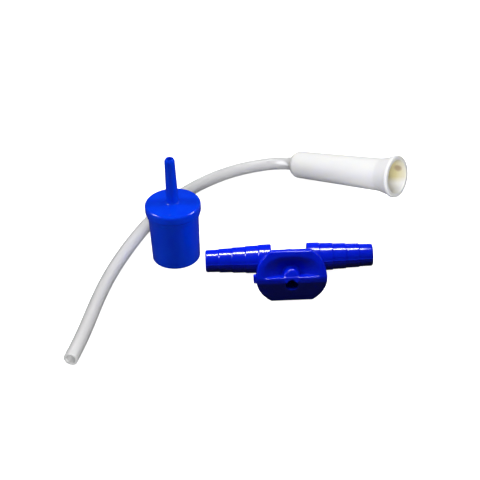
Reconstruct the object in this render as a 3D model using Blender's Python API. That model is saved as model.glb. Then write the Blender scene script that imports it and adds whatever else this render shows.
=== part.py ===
"""Meconium aspirator, taken apart and laid out on a table.

Four mouldings of a single-use airway kit: a blue adapter cap that pushes on to
an endotracheal tube, a blue fingertip suction control with stepped barbs and a
thumb pad, a white funnel connector, and the clear suction tube that is pushed
into the connector's small end.

Metres, +Z up. The table top is z = 0, +X runs along the funnel connector
towards its mouth, and the origin is under the middle of the rigid pieces.
"""
from math import acos, atan2, cos, hypot, pi, radians, sin, sqrt, tan, tau

import bmesh
import bpy
from mathutils import Matrix, Vector

# Adapter cap: collar, skirt, 15 mm socket underneath, spigot on top
COLLAR_D = 0.0200
COLLAR_H = 0.0031
SKIRT_TOP_D = 0.0181
SKIRT_FOOT_D = 0.0173
CAP_H = 0.0230              # open end to the top face
CAP_CROWN = 0.0005          # how far the top face rises to the spigot
SOCKET_MOUTH_D = 0.01545    # female cone, one in forty
SOCKET_TAPER = 1 / 40
SOCKET_DEPTH = 0.0185
STEP_BAND = 0.0017          # second, lower step under the collar
SPIGOT_L = 0.0178
SPIGOT_FOOT_D = 0.0044
SPIGOT_TIP_D = 0.0037
SPIGOT_BORE_D = 0.0023
SPIGOT_ROOT = 0.0010        # blend where the spigot leaves the top face
SOCKET_CONE = 0.0004        # slope of the socket's end, towards the spigot's bore

# Fingertip control: stepped barbs, middle pipe, branch and thumb pad
BARB_STEPS = 5
BARB_STEP_L = 0.00468
BARB_COLLAR_D = 0.0104
BARB_TIP_D = 0.0079
BARB_STEP_H = 0.00018       # how far each step drops towards the tip
MID_PIPE_D = 0.0062
MID_PIPE_L = 0.0126         # between the two collars
PIPE_BORE_D = 0.0036
BRANCH_D = 0.0072
BRANCH_FLARE_D = 0.0140     # where the branch meets the back of the pad
BRANCH_FLARE_L = 0.0034
PAD_W = 0.0243
PAD_OVAL = 0.92             # the pad's round outline is a little wider than tall
PAD_HALF_H = 0.0091         # pad centre to its top and bottom flats
PAD_BACK = 0.0144           # pipe axis to the back of the pad
PAD_EDGE_T = 0.0028         # thickness at the rim
PAD_CHAMFER = 0.0008        # slope round the back of the rim
RIDGE_RISE = 0.0030         # how far the ridge stands out over the rim
RIDGE_LOW = -0.0014         # ridge's flat, from the pad's middle
RIDGE_HIGH = 0.0003
RIDGE_LIP = 0.0003          # lip left between the ridge's flat and the bowl
BOWL_RIM = 0.0008
BOWL_DEPTH = 0.0046
BOWL_SQUARE = 2.6           # 2 would be an oval bowl, more a squarer one
NIB_FOOT_D = 0.0070         # raised lip over the vent
NIB_TOP_D = 0.0052
NIB_SLOPE = 0.55            # fall of its top face, towards the pad's top
VENT_D = 0.0040
VENT_DROP = 0.0024          # vent mouth below the pad's middle
VENT_THROAT_D = 0.0030
VENT_CONE_L = 0.0020        # cone between the throat and the mouth
TAB_OUT = 0.0009            # small gate tab on the pad's edge
TAB_H = 0.0030
TAB_T = 0.0020
TAB_DROP = 0.0011

# Funnel connector: tube socket at the small end, flared mouth
FUNNEL_L = 0.0470
FUNNEL_SMALL_D = 0.0104
FUNNEL_BODY_D = 0.0124      # where the body meets the flare
FUNNEL_MOUTH_D = 0.0158
FLARE_L = 0.0070
FUNNEL_NOSE = 0.0016        # rounded shoulder of the small end
FUNNEL_BORE_D = 0.0080      # at the foot of the tapered bore
FUNNEL_THROAT_D = 0.0094    # where the bore meets the mouth
FUNNEL_LIP_T = 0.0016
FUNNEL_RIM_L = 0.0014       # length of the rim's own band
FUNNEL_RIM_STEP = 0.0004    # how far that band stands out from the flare
FLARE_R = 0.0060            # outside curve where the flare leaves the body
THROAT_R = 0.0040           # inside curve where the bore opens into the mouth
SHOULDER = 0.0010           # how far the small end's shoulder draws in
BORE_CONE_L = 0.0030        # cone between the lumen and the tapered bore
BORE_FOOT = 0.0190          # small end to the foot of the tapered bore

# Suction tube, 14 French
TUBE_D = 0.0048
TUBE_LUMEN_D = 0.0033
TUBE_GRIP = 0.0100          # length pushed into the connector

TUBE_LEAD = 0.0020          # straight stretch just outside the connector

CLEARANCE = 0.0003          # between the tube and the connector that holds it
FINE_EDGE = 0.0002          # radii on the mouldings' edges
EDGE = 0.0004
SOFT_EDGE = 0.0007
CUT_PAST = 0.0010           # how far a cutter runs past what it cuts
SUNK = 0.0004               # how far a joined piece starts inside the other
SEGMENTS = 40

# Layout on the table, before the kit is centred on the origin
ADAPTER_AT = (-0.01384, -0.02051)
CONTROL_AT = (0.02558, -0.00544)
CONTROL_TURN = radians(37)
FUNNEL_AT = (-0.00816, 0.04917)     # centre of its small end
FUNNEL_LIFT = radians(12)           # the springy tube holds the mouth up
TUBE_REST = 0.00005                 # air under the tube, so it never cuts the table

# Tube's centre line from its open tip to the connector: x, y and its rise over
# the height at which it lies on the table.
TUBE_ROUTE = [
    (-0.0048, -0.0882, 0.0),
    (-0.0092, -0.0776, 0.0),
    (-0.0138, -0.0682, 0.0),
    (-0.0200, -0.0555, 0.0),
    (-0.0259, -0.0406, 0.0),
    (-0.0303, -0.0257, 0.0),
    (-0.0332, -0.0130, 0.0),
    (-0.0348, 0.0000, 0.0),
    (-0.0345, 0.0130, 0.0),
    (-0.0325, 0.0236, 0.0),
    (-0.0290, 0.0331, 0.0),
    (-0.0262, 0.0379, 0.0),
    (-0.0230, 0.0423, 0.00008),
    (-0.0192, 0.0460, 0.00038),
    (-0.0150, 0.0485, 0.00105),
]


# Helpers

def clear_scene():
    """Empties the file, so the script gives the same result each time it runs."""
    for old in list(bpy.data.objects):
        bpy.data.objects.remove(old, do_unlink=True)


def plastic(name, colour, roughness, alpha=1.0):
    """A Principled material: colour in linear RGB."""
    made = bpy.data.materials.new(name)
    made.use_nodes = True
    shader = made.node_tree.nodes["Principled BSDF"]
    shader.inputs["Base Color"].default_value = (*colour, 1.0)
    shader.inputs["Roughness"].default_value = roughness
    shader.inputs["Metallic"].default_value = 0.0
    shader.inputs["Alpha"].default_value = alpha
    return made


def rounded(corners, closed, steps=3):
    """Turns corners (across, up, radius) into points, each radius as an arc."""
    points = []
    count = len(corners)
    for i, (across, up, radius) in enumerate(corners):
        here = Vector((across, up))
        at_end = not closed and i in (0, count - 1)
        if radius == 0 or at_end:
            points.append((across, up))
            continue
        to_last = Vector(corners[i - 1][:2]) - here
        to_next = Vector(corners[(i + 1) % count][:2]) - here
        half = to_last.angle(to_next) / 2
        # A fillet takes less than half of the shorter side beside its corner.
        reach = min(radius / tan(half), 0.48 * to_last.length, 0.48 * to_next.length)
        radius = reach * tan(half)
        middle = here + (to_last.normalized() + to_next.normalized()).normalized() * (radius / sin(half))
        first = here + to_last.normalized() * reach - middle
        last = here + to_next.normalized() * reach - middle
        for k in range(steps + 1):
            arm = first.normalized().slerp(last.normalized(), k / steps) * radius
            points.append(tuple(middle + arm))
    return points


def new_object(name, bm, material, parent=None):
    """Makes an object of a finished bmesh, shaded smooth but for its real edges."""
    bmesh.ops.recalc_face_normals(bm, faces=bm.faces)
    mesh = bpy.data.meshes.new(name)
    bm.to_mesh(mesh)
    bm.free()
    mesh.materials.append(material)
    mesh.shade_smooth()
    mesh.set_sharp_from_angle(angle=radians(35))
    made = bpy.data.objects.new(name, mesh)
    bpy.context.collection.objects.link(made)
    made.parent = parent
    return made


def turned(name, profile, material, parent=None, axis="Z", segments=SEGMENTS):
    """Spins a profile of (radius, height) about Z, then lays that axis along X or -Y.

    A profile that keeps off the axis is a closed loop round the wall; one that
    starts and ends on the axis bounds a solid.
    """
    bm = bmesh.new()
    points = [bm.verts.new((radius, 0, height)) for radius, height in profile]
    pairs = list(zip(points, points[1:]))
    if profile[0][0] > 0:
        pairs.append((points[-1], points[0]))
    rim = [bm.edges.new(pair) for pair in pairs]
    bmesh.ops.spin(bm, geom=points + rim, cent=(0, 0, 0), axis=(0, 0, 1),
                   angle=tau, steps=segments, use_merge=True)
    bmesh.ops.remove_doubles(bm, verts=bm.verts, dist=1e-7)
    if axis == "X":
        bmesh.ops.rotate(bm, verts=bm.verts, matrix=Matrix.Rotation(pi / 2, 3, "Y"))
    elif axis == "-Y":
        bmesh.ops.rotate(bm, verts=bm.verts, matrix=Matrix.Rotation(pi / 2, 3, "X"))
    return new_object(name, bm, material, parent)


def extruded(name, outline, half_width, material, parent=None):
    """A prism along X, even about x = 0, of an outline of (distance out, height)."""
    bm = bmesh.new()
    loop = [bm.verts.new((-half_width, -out, up)) for out, up in outline]
    face = bm.faces.new(loop)
    pushed = bmesh.ops.extrude_face_region(bm, geom=[face])
    moved = [v for v in pushed["geom"] if isinstance(v, bmesh.types.BMVert)]
    bmesh.ops.translate(bm, verts=moved, vec=(2 * half_width, 0, 0))
    return new_object(name, bm, material, parent)


def as_tool(made):
    """Marks a cutter or a shape that is only joined into another."""
    made.hide_render = True
    made.display_type = "WIRE"
    return made


def combine(body, operation, tool):
    """Adds an exact Boolean that joins, cuts or intersects body with tool."""
    step = body.modifiers.new(f"{operation.lower()} {tool.name}", "BOOLEAN")
    step.operation = operation
    step.solver = "EXACT"
    step.object = as_tool(tool)


# Adapter cap

def adapter_profile():
    """Wall of the cap: down the outside, then up the socket and the spigot's bore."""
    collar, foot, skirt = COLLAR_D / 2, SKIRT_FOOT_D / 2, SKIRT_TOP_D / 2
    tip = CAP_H + CAP_CROWN + SPIGOT_L
    bore = SPIGOT_BORE_D / 2
    mouth = SOCKET_MOUTH_D / 2
    socket_top = mouth - SOCKET_DEPTH * SOCKET_TAPER / 2
    under_collar = CAP_H - COLLAR_H
    step = (collar + skirt) / 2
    return rounded([
        (SPIGOT_TIP_D / 2, tip, EDGE),
        (SPIGOT_FOOT_D / 2, CAP_H + CAP_CROWN, SPIGOT_ROOT),
        (collar, CAP_H, SOFT_EDGE),
        (collar, under_collar, EDGE),
        (step, under_collar - STEP_BAND / 4, 0),
        (step, under_collar - STEP_BAND, FINE_EDGE),
        (skirt, under_collar - STEP_BAND, 0),
        (foot, 0, FINE_EDGE),
        (mouth, 0, FINE_EDGE / 2),
        (socket_top, SOCKET_DEPTH, SOFT_EDGE),
        (bore * 1.5, SOCKET_DEPTH + SOCKET_CONE, 0),
        (bore, SOCKET_DEPTH + 3 * SOCKET_CONE, 0),
        (bore, tip, FINE_EDGE),
    ], closed=True)


def make_adapter(parent):
    """Blue cap, standing on its open end as it does on the table."""
    cap = turned("tube_adapter", adapter_profile(), BLUE, parent)
    cap.location = (*ADAPTER_AT, 0)
    return cap


# Funnel connector

def funnel_profile():
    """Wall of the connector, mouth up: down the outside, then up the bore."""
    small, body, mouth = FUNNEL_SMALL_D / 2, FUNNEL_BODY_D / 2, FUNNEL_MOUTH_D / 2
    socket = TUBE_D / 2 + CLEARANCE
    seat = TUBE_GRIP + CLEARANCE
    throat = FUNNEL_L - FLARE_L
    return rounded([
        (mouth, FUNNEL_L, FUNNEL_LIP_T / 2),
        (mouth - FUNNEL_RIM_STEP, FUNNEL_L - FUNNEL_RIM_L, SOFT_EDGE),
        (body, throat, FLARE_R),
        (small, FUNNEL_NOSE, FUNNEL_NOSE),
        (small - SHOULDER, 0, SOFT_EDGE),
        (socket, 0, FINE_EDGE),
        (socket, seat, 0),
        (TUBE_LUMEN_D / 2, seat, 0),
        (TUBE_LUMEN_D / 2, BORE_FOOT - BORE_CONE_L, 0),
        (FUNNEL_BORE_D / 2, BORE_FOOT, 0),
        (FUNNEL_THROAT_D / 2, throat, THROAT_R),
        (mouth - FUNNEL_LIP_T, FUNNEL_L, FUNNEL_LIP_T / 2),
    ], closed=True)


def funnel_height():
    """Height of its small end's centre, with its lower shoulder on the table."""
    return max(radius * cos(FUNNEL_LIFT) - along * sin(FUNNEL_LIFT)
               for radius, along in funnel_profile())


def make_funnel(parent):
    """White connector: its small end rests on the table and its mouth tips up."""
    funnel = turned("funnel_connector", funnel_profile(), WHITE, parent, axis="X")
    funnel.location = (*FUNNEL_AT, funnel_height())
    funnel.rotation_euler = (0, -FUNNEL_LIFT, 0)
    return funnel


# Fingertip control

def barb_profile():
    """Outside of the pipe from tip to tip: two stepped barbs and the bare middle."""
    collar, tip, step = BARB_COLLAR_D / 2, BARB_TIP_D / 2, BARB_STEP_H
    taper = (collar - tip - (BARB_STEPS - 1) * step) / BARB_STEPS
    start = MID_PIPE_L / 2
    half = [(MID_PIPE_D / 2, start - EDGE, 0), (MID_PIPE_D / 2 + EDGE, start, 0)]
    radius = collar
    for i in range(BARB_STEPS):
        near, far = start + i * BARB_STEP_L, start + (i + 1) * BARB_STEP_L
        last = i == BARB_STEPS - 1
        half.append((radius, near, EDGE if i == 0 else 0))
        radius -= taper
        half.append((radius, far, SOFT_EDGE if last else 0))
        radius -= step
    end = start + BARB_STEPS * BARB_STEP_L
    right = half + [(0, end, 0)]
    left = [(r, -x, fillet) for r, x, fillet in reversed(right)]
    return rounded(left + right, closed=False)


def bowl_reach(across, up, foot_up):
    """How far the bowl runs from the middle of its foot in one direction."""
    # A squarish half oval: as wide as the pad less its rim, as tall as its flat allows.
    wide = PAD_W / 2 * sqrt(1 - (foot_up / (PAD_W / 2 * PAD_OVAL)) ** 2) - BOWL_RIM
    tall = PAD_HALF_H - BOWL_RIM - foot_up
    shares = abs(across / wide) ** BOWL_SQUARE + abs(up / tall) ** BOWL_SQUARE
    return shares ** (-1 / BOWL_SQUARE)


def make_bowl():
    """Cutter for the half bowl above the ridge: deepest at the ridge, shallow at the rim."""
    turns, rings = 24, 6
    ridge_front = PAD_BACK + PAD_EDGE_T + RIDGE_RISE
    fall = RIDGE_RISE / (PAD_HALF_H - RIDGE_HIGH)
    foot_up = RIDGE_HIGH + RIDGE_LIP
    bm = bmesh.new()
    rows = []
    for ring in range(1, rings + 1):
        share = ring / rings
        row = []
        for turn in range(turns + 1):
            angle = pi * turn / turns
            across, up = cos(angle), sin(angle)
            reach = bowl_reach(across, up, foot_up)
            x, rise = reach * share * across, reach * share * up
            front = ridge_front - fall * (rise + RIDGE_LIP)
            # The last ring stands just proud, so the bowl breaks the face cleanly.
            depth = (BOWL_DEPTH + RIDGE_LIP) * (1 - share ** 2.2) - RIDGE_LIP
            row.append(bm.verts.new((x, -(front - depth), foot_up + rise)))
        rows.append(row)
    lid = [bm.verts.new((v.co.x, -(ridge_front + CUT_PAST), v.co.z)) for v in rows[-1]]
    foot = bm.verts.new((0, -(ridge_front - BOWL_DEPTH), foot_up))
    rows.append(lid)
    for a, b in zip(rows[0], rows[0][1:]):
        bm.faces.new((foot, a, b))
    for inner, outer in zip(rows, rows[1:]):
        for k in range(turns):
            bm.faces.new((inner[k], outer[k], outer[k + 1], inner[k + 1]))
    bm.faces.new(lid)
    right_side = [row[0] for row in rows]
    left_side = [row[-1] for row in reversed(rows)]
    bm.faces.new(right_side + left_side + [foot])
    bmesh.ops.triangulate(bm, faces=[f for f in bm.faces if len(f.verts) > 4])
    return new_object("bowl_cutter", bm, BLUE)


def make_pad():
    """Thumb pad: a disc with two flats, roofed to a ridge and hollowed above it."""
    rim_front = PAD_BACK + PAD_EDGE_T
    ridge_front = rim_front + RIDGE_RISE
    side = rounded([
        (PAD_BACK, PAD_HALF_H, SOFT_EDGE),
        (PAD_BACK, -PAD_HALF_H, SOFT_EDGE),
        (rim_front, -PAD_HALF_H, EDGE),
        (ridge_front, RIDGE_LOW, EDGE),
        (ridge_front, RIDGE_HIGH, FINE_EDGE),
        (rim_front, PAD_HALF_H, FINE_EDGE),
    ], closed=True)
    pad = extruded("pad", side, PAD_W, BLUE)
    disc = turned("pad_disc", rounded([
        (0, PAD_BACK - CUT_PAST, 0),
        (PAD_W / 2 - PAD_CHAMFER - CUT_PAST, PAD_BACK - CUT_PAST, 0),
        (PAD_W / 2, PAD_BACK + PAD_CHAMFER, PAD_CHAMFER),
        (PAD_W / 2, ridge_front + CUT_PAST, 0),
        (0, ridge_front + CUT_PAST, 0),
    ], closed=False), BLUE, axis="-Y", segments=56)
    for v in disc.data.vertices:
        v.co.z *= PAD_OVAL
    combine(pad, "INTERSECT", disc)
    combine(pad, "DIFFERENCE", make_bowl())
    return pad


def make_nib():
    """Raised lip over the vent: a short cone whose top face looks upwards."""
    foot = PAD_BACK + PAD_EDGE_T + RIDGE_RISE - BOWL_DEPTH - SUNK
    top = PAD_BACK + PAD_EDGE_T + RIDGE_RISE - FINE_EDGE
    nib = turned("vent_nib", rounded([
        (0, foot, 0), (NIB_FOOT_D / 2, foot, 0), (NIB_TOP_D / 2, top, EDGE), (0, top, 0),
    ], closed=False), BLUE, axis="-Y", segments=32)
    for v in nib.data.vertices:
        if -v.co.y > (foot + top) / 2:
            v.co.y += NIB_SLOPE * max(v.co.z, -NIB_TOP_D / 4)
        v.co.z += RIDGE_HIGH
    return nib


def make_control(parent):
    """Blue T-shaped moulding: pipe with two barbs, a branch, and the thumb pad."""
    control = turned("fingertip_control", barb_profile(), BLUE, parent, axis="X", segments=36)
    ridge_front = PAD_BACK + PAD_EDGE_T + RIDGE_RISE
    # The branch ends half way into the floor that the bowl leaves.
    inside_floor = PAD_BACK + (PAD_EDGE_T + RIDGE_RISE - BOWL_DEPTH) / 2
    branch = turned("branch", rounded([
        (0, 0, 0),
        (BRANCH_D / 2, 0, 0),
        (BRANCH_D / 2, PAD_BACK - BRANCH_FLARE_L, BRANCH_FLARE_L),
        (BRANCH_FLARE_D / 2, PAD_BACK, 0),
        (BRANCH_FLARE_D / 2, inside_floor, 0),
        (0, inside_floor, 0),
    ], closed=False), BLUE, axis="-Y", segments=32)
    tab_low, tab_high = -TAB_DROP - TAB_H / 2, -TAB_DROP + TAB_H / 2
    tab_back, tab_front = PAD_BACK + SUNK, PAD_BACK + SUNK + TAB_T
    tab_reach = PAD_W / 2 + TAB_OUT
    tab = extruded("edge_tab", rounded([
        (tab_back, tab_high, EDGE), (tab_back, tab_low, EDGE),
        (tab_front, tab_low, EDGE), (tab_front, tab_high, EDGE),
    ], closed=True), tab_reach / 4, BLUE)
    for v in tab.data.vertices:
        v.co.x -= tab_reach * 3 / 4
    pipe_half = MID_PIPE_L / 2 + BARB_STEPS * BARB_STEP_L + CUT_PAST
    bore = turned("pipe_bore", [
        (0, -pipe_half), (PIPE_BORE_D / 2, -pipe_half), (PIPE_BORE_D / 2, pipe_half), (0, pipe_half),
    ], BLUE, axis="X", segments=24)
    vent_end = ridge_front + 2 * CUT_PAST
    vent = turned("vent_bore", [
        (0, 0), (VENT_THROAT_D / 2, 0), (VENT_THROAT_D / 2, PAD_BACK - VENT_CONE_L),
        (VENT_D / 2, PAD_BACK), (VENT_D / 2, vent_end), (0, vent_end),
    ], BLUE, axis="-Y", segments=24)
    # The vent starts on the pipe's axis and comes out just under the ridge.
    vent.data.transform(Matrix.Rotation(atan2(VENT_DROP, ridge_front), 4, "X"))
    for piece in (branch, make_pad(), make_nib(), tab):
        combine(control, "UNION", piece)
    for cutter in (bore, vent):
        combine(control, "DIFFERENCE", cutter)
    for modifier in control.modifiers:
        tool = modifier.object
        tool.parent = control
    for tool in list(bpy.data.objects):
        if tool.hide_render and tool.parent is None:
            tool.parent = control
    # It rests on its two collars and on the lower back edge of the pad.
    axis_height = BARB_COLLAR_D / 2
    lean = acos(axis_height / hypot(PAD_HALF_H, PAD_BACK)) - atan2(PAD_BACK, PAD_HALF_H)
    control.location = (*CONTROL_AT, axis_height)
    control.rotation_euler = (-lean, 0, CONTROL_TURN)
    return control


# Suction tube

def smooth_path(knots, spacing):
    """Points about spacing apart on a smooth curve through all the knots."""
    points = []
    ends = [knots[0] * 2 - knots[1]] + knots + [knots[-1] * 2 - knots[-2]]
    for before, a, b, after in zip(ends, ends[1:], ends[2:], ends[3:]):
        steps = max(1, round((b - a).length / spacing))
        for k in range(steps):
            t = k / steps
            points.append(0.5 * ((2 * a) + (b - before) * t
                                 + (2 * before - 5 * a + 4 * b - after) * t ** 2
                                 + (3 * a - before - 3 * b + after) * t ** 3))
    return points + [knots[-1]]


def make_tube(parent):
    """Suction tube: along the table, up into the connector and home in its socket."""
    lying = TUBE_D / 2 + TUBE_REST
    entry = Vector((*FUNNEL_AT, funnel_height()))
    axis = Vector((cos(FUNNEL_LIFT), 0, sin(FUNNEL_LIFT)))
    knots = [Vector((x, y, lying + rise)) for x, y, rise in TUBE_ROUTE]
    free = smooth_path(knots + [entry - axis * TUBE_LEAD], 2 * TUBE_D)
    curve = bpy.data.curves.new("suction_tube", "CURVE")
    curve.dimensions = "3D"
    curve.bevel_depth = TUBE_D / 2
    curve.bevel_resolution = 3
    curve.use_fill_caps = True
    path = curve.splines.new("POLY")
    route = free + [entry + axis * TUBE_GRIP]
    path.points.add(len(route) - 1)
    for point, place in zip(path.points, route):
        point.co = (*place, 1)
    curve.materials.append(CLEAR)
    tube = bpy.data.objects.new("suction_tube", curve)
    bpy.context.collection.objects.link(tube)
    tube.parent = parent
    return tube


# The kit

def centre(kit, pieces):
    """Moves the kit so that the box round its rigid pieces stands on the origin."""
    bpy.context.view_layer.update()
    depsgraph = bpy.context.evaluated_depsgraph_get()
    points = [piece.matrix_world @ v.co for piece in pieces
              for v in piece.evaluated_get(depsgraph).data.vertices]
    low = [min(p[i] for p in points) for i in range(3)]
    high = [max(p[i] for p in points) for i in range(3)]
    kit.location = (-(low[0] + high[0]) / 2, -(low[1] + high[1]) / 2, -low[2])


clear_scene()
BLUE = plastic("blue_plastic", (0.0, 0.035, 0.62), 0.22)
WHITE = plastic("white_vinyl", (0.87, 0.87, 0.85), 0.38)
CLEAR = plastic("clear_vinyl", (0.78, 0.78, 0.77), 0.25, 0.6)

kit = bpy.data.objects.new("kit", None)
bpy.context.collection.objects.link(kit)
adapter = make_adapter(kit)
control = make_control(kit)
funnel = make_funnel(kit)
tube = make_tube(kit)
centre(kit, (adapter, control, funnel))
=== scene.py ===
"""Meconium aspirator: the airway suction kit of a newborn's resuscitation trolley.

Four single-use mouldings lie apart on a white table: a clear suction tube in its
white funnel connector, a blue cap that fits an endotracheal tube, and the blue
fingertip control whose vent the thumb closes. Metres, +Z up, in the CAD's frame.
"""
from math import acos, atan2, cos, hypot, pi, radians, sin, sqrt, tan

import bmesh
import bpy
from mathutils import Matrix, Vector


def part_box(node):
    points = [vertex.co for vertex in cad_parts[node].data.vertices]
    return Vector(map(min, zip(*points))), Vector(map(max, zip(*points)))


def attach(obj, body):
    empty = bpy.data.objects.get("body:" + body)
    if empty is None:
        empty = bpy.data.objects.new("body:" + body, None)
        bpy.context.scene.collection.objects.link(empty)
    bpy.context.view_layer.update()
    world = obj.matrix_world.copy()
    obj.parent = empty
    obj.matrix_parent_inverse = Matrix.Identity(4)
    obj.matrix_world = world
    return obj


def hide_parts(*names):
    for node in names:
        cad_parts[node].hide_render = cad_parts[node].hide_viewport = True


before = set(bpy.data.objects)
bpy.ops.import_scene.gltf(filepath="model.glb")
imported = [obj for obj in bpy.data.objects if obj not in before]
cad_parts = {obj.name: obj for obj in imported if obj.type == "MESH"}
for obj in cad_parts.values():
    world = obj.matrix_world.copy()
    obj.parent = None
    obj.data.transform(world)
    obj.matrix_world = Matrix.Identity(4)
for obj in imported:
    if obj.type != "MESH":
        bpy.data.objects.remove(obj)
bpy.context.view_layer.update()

# Every material has soft boxes of its own, because each is lit from other sides.

CAP_AT = (-0.01384, -0.02051)
cap_low, cap_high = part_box("tube_adapter")
LAYOUT = Vector(((cap_low.x + cap_high.x) / 2 - CAP_AT[0],
                 (cap_low.y + cap_high.y) / 2 - CAP_AT[1], 0))

CAMERA_AZIMUTH = radians(37)
CAMERA_ELEVATION = radians(35)
CAMERA_ROLL = radians(2.3)
CAMERA_AWAY = 0.4815
CAMERA_LENS = 97.5          # millimetres, on a sensor of 36
CAMERA_SENSOR = 36
SWEEP_FRONT, SWEEP_BACK, SWEEP_SIDE = -1.2, 0.9, 1.2
PAPER = "#909090"           # it glows a little besides, and the two together are white
PAPER_TO_LIGHT = "#101010"  # the same paper, for the light that it throws back
SHADOW_FILL = 0.86          # how bright the sweep stays where no lamp reaches it
FILL_NEAR, FILL_FAR = 0.2, 0.5      # between these distances it brightens to the full
GLOSS_LEVEL = 0.02          # the sweep and the room, as polished plastic mirrors them
ROOM_LEVEL = 0.02


def srgb(code):
    """A colour written as sRGB hex, as linear RGBA."""
    channels = [int(code[i:i + 2], 16) / 255 for i in (1, 3, 5)]
    return (*[c / 12.92 if c <= 0.04045 else ((c + 0.055) / 1.055) ** 2.4 for c in channels], 1.0)


def add_node(tree, kind, feeds=(), **settings):
    """Adds a node. feeds are its inputs, in order or by name: values or other outputs."""
    made = tree.nodes.new(kind)
    for name, value in settings.items():
        setattr(made, name, value)
    for name, value in feeds.items() if isinstance(feeds, dict) else enumerate(feeds):
        if isinstance(value, bpy.types.NodeSocket):
            tree.links.new(value, made.inputs[name])
        else:
            made.inputs[name].default_value = value
    return made


def empty_material(name):
    """A material without nodes, and its tree."""
    made = bpy.data.materials.new(name)
    made.use_nodes = True
    made.node_tree.nodes.clear()
    return made, made.node_tree


def background_share(tree):
    """How much of the white background a ray sees: all, a mirrored share, or none."""
    rays = add_node(tree, "ShaderNodeLightPath").outputs
    clear = add_node(tree, "ShaderNodeMath", (rays["Is Camera Ray"], rays["Is Transmission Ray"]),
                     operation="MAXIMUM")
    share = add_node(tree, "ShaderNodeMath", (rays["Is Glossy Ray"], GLOSS_LEVEL, clear.outputs[0]),
                     operation="MULTIPLY_ADD", use_clamp=True)
    return share.outputs[0]


def sweep_paper():
    """White paper that clips to white where it is lit, and keeps a soft shadow."""
    made, tree = empty_material("white_sweep_paper")
    lit = add_node(tree, "ShaderNodeBsdfDiffuse", {"Color": srgb(PAPER)})
    # Half a metre off, where the lamps fade, the paper is as white as the room.
    place = add_node(tree, "ShaderNodeTexCoord").outputs["Object"]
    far_off = add_node(tree, "ShaderNodeVectorMath", (place,), operation="LENGTH")
    level = add_node(tree, "ShaderNodeMapRange", {
        "Value": far_off.outputs["Value"], "From Min": FILL_NEAR, "From Max": FILL_FAR,
        "To Min": SHADOW_FILL, "To Max": 1.0})
    fill = add_node(tree, "ShaderNodeEmission", {"Strength": level.outputs[0]})
    shown = add_node(tree, "ShaderNodeAddShader", (lit.outputs[0], fill.outputs[0]))
    # Diffuse light finds a dark table, because the pieces' undersides are nearly black.
    dark = add_node(tree, "ShaderNodeBsdfDiffuse", {"Color": srgb(PAPER_TO_LIGHT)})
    mix = add_node(tree, "ShaderNodeMixShader", (background_share(tree), dark.outputs[0],
                                                 shown.outputs[0]))
    add_node(tree, "ShaderNodeOutputMaterial", {"Surface": mix.outputs[0]})
    return made


def studio_world():
    """White to the eye, and an even dark grey for everything that it lights."""
    world = bpy.data.worlds.new("studio")
    world.use_nodes = True
    tree = world.node_tree
    tree.nodes.clear()
    level = add_node(tree, "ShaderNodeMapRange", {"Value": background_share(tree),
                                                  "To Min": ROOM_LEVEL, "To Max": 1.0})
    light = add_node(tree, "ShaderNodeBackground", {"Color": srgb("#FFFFFF"),
                                                    "Strength": level.outputs[0]})
    add_node(tree, "ShaderNodeOutputWorld", {"Surface": light.outputs[0]})
    return world


def look_from(azimuth, elevation):
    return Vector((sin(azimuth) * cos(elevation), -cos(azimuth) * cos(elevation), sin(elevation)))


def soft_box(name, azimuth, elevation, away, size, watts, pieces, mirrored=False):
    lamp = bpy.data.lights.new(name, "AREA")
    lamp.shape = "RECTANGLE"
    lamp.size, lamp.size_y = size
    lamp.energy = watts
    made = bpy.data.objects.new(name, lamp)
    bpy.context.scene.collection.objects.link(made)
    place = look_from(azimuth, elevation) * away
    made.location = LAYOUT + place
    made.rotation_euler = (-place).to_track_quat("-Z", "Y").to_euler()
    made.light_linking.receiver_collection = pieces
    made.visible_glossy = mirrored
    return made


scene = bpy.context.scene
scene.view_settings.view_transform = "Standard"
scene.world = studio_world()

paper_mesh = bpy.data.meshes.new("sweep")
paper_mesh.from_pydata([(-SWEEP_SIDE, SWEEP_FRONT, 0), (SWEEP_SIDE, SWEEP_FRONT, 0),
                        (SWEEP_SIDE, SWEEP_BACK, 0), (-SWEEP_SIDE, SWEEP_BACK, 0)],
                       [], [(0, 1, 2, 3)])
paper_mesh.materials.append(sweep_paper())
sweep = bpy.data.objects.new("sweep", paper_mesh)
scene.collection.objects.link(sweep)

# Light comes to the control from behind and above, so that its pad glows at the top
# and is black below. The cap is lit at both sides, and the white pieces mostly from
# the front and from low down.
back_lit = bpy.data.collections.new("back_lit")
side_lit = bpy.data.collections.new("side_lit")
front_lit = bpy.data.collections.new("front_lit")
for pieces in (back_lit, side_lit, front_lit):
    pieces.objects.link(sweep)
IN_FRONT = CAMERA_AZIMUTH
BEHIND = CAMERA_AZIMUTH + pi
AT_LEFT = CAMERA_AZIMUTH - pi / 2
AT_RIGHT = CAMERA_AZIMUTH + pi / 2
# The strip that runs as a pale band along the barbs shows in their gloss alone.
band = soft_box("band_box", BEHIND, radians(82), 0.62, (0.36, 0.11), 6.0, back_lit, mirrored=True)
band.visible_diffuse = False
soft_box("crown_box", BEHIND, radians(80), 0.62, (0.36, 0.07), 2.5, back_lit)
soft_box("glow_box", BEHIND, radians(14), 0.60, (0.30, 0.20), 3.2, back_lit)
soft_box("step_box", AT_LEFT, radians(40), 0.60, (0.16, 0.16), 1.0, back_lit, mirrored=True)
soft_box("control_box", IN_FRONT, radians(76), 0.70, (0.24, 0.24), 2.1, back_lit)
soft_box("cap_left_box", AT_LEFT, radians(44), 0.60, (0.12, 0.12), 1.7, side_lit, mirrored=True)
soft_box("cap_right_box", AT_RIGHT, radians(40), 0.60, (0.12, 0.12), 2.1, side_lit, mirrored=True)
soft_box("cap_top_box", BEHIND, radians(80), 0.70, (0.20, 0.20), 1.3, side_lit)
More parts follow.
